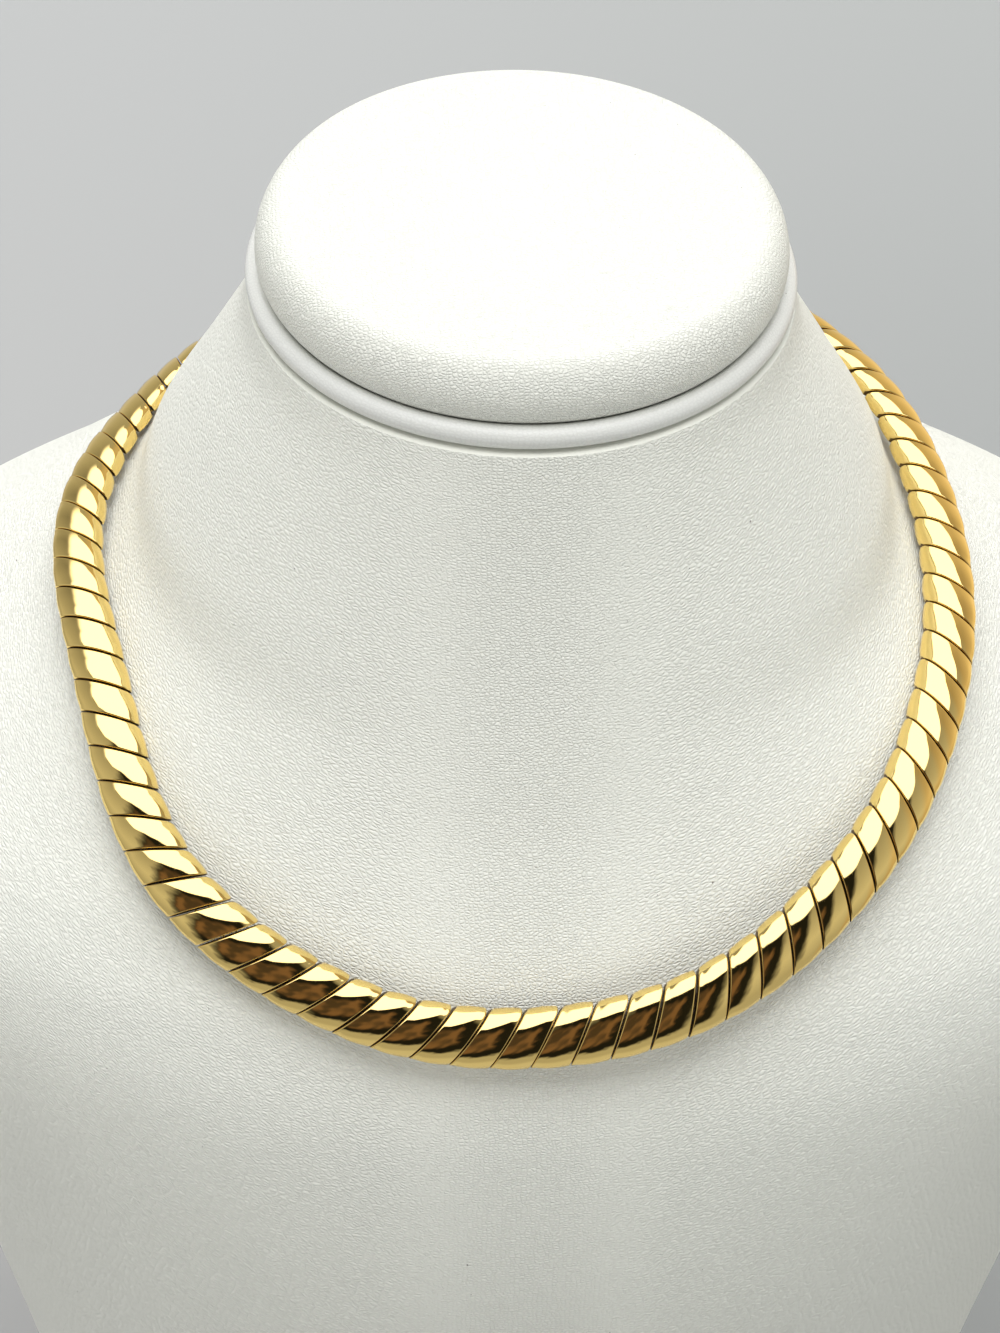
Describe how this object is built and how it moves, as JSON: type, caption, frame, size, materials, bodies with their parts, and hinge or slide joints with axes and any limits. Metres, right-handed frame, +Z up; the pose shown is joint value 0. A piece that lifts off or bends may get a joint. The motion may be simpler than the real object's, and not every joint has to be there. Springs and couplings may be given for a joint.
{
  "type": "collar necklace on neck bust",
  "caption": "Gold-toned collar necklace of slanted domed links, fastened round a plain white leatherette neck bust with a padded and piped cap.",
  "frame": {"origin": "centre of the bust's flat base, on the table", "axes": "+Z up, the bust and the widest links face -Y, +X is to the right seen from the front"},
  "size_m": [0.215, 0.1261, 0.2491],
  "materials": {
    "leatherette": "white, fine pebble grain, satin",
    "gold_tone": "gold-toned, mirror polished"
  },
  "bodies": {
    "root": {"bust_body": "leatherette", "cap_pad": "leatherette", "cap_piping": "leatherette", "link_01": "gold_tone", "link_02": "gold_tone", "link_03": "gold_tone", "link_04": "gold_tone", "link_05": "gold_tone", "link_06": "gold_tone", "link_07": "gold_tone", "link_08": "gold_tone", "link_09": "gold_tone", "link_10": "gold_tone", "link_11": "gold_tone", "link_12": "gold_tone", "link_13": "gold_tone", "link_14": "gold_tone", "link_15": "gold_tone", "link_16": "gold_tone", "link_17": "gold_tone", "link_18": "gold_tone", "link_19": "gold_tone", "link_20": "gold_tone", "link_21": "gold_tone", "link_22": "gold_tone", "link_23": "gold_tone", "link_24": "gold_tone", "link_25": "gold_tone", "link_26": "gold_tone", "link_27": "gold_tone", "link_28": "gold_tone", "link_29": "gold_tone", "link_30": "gold_tone", "link_31": "gold_tone", "link_32": "gold_tone", "link_33": "gold_tone", "link_34": "gold_tone", "link_35": "gold_tone", "link_36": "gold_tone", "link_37": "gold_tone", "link_38": "gold_tone", "link_39": "gold_tone", "link_40": "gold_tone", "link_41": "gold_tone", "links_back_left": "gold_tone", "links_back_right": "gold_tone", "joining_rings": "gold_tone", "clasp": "gold_tone"}
  },
  "joints": []
}
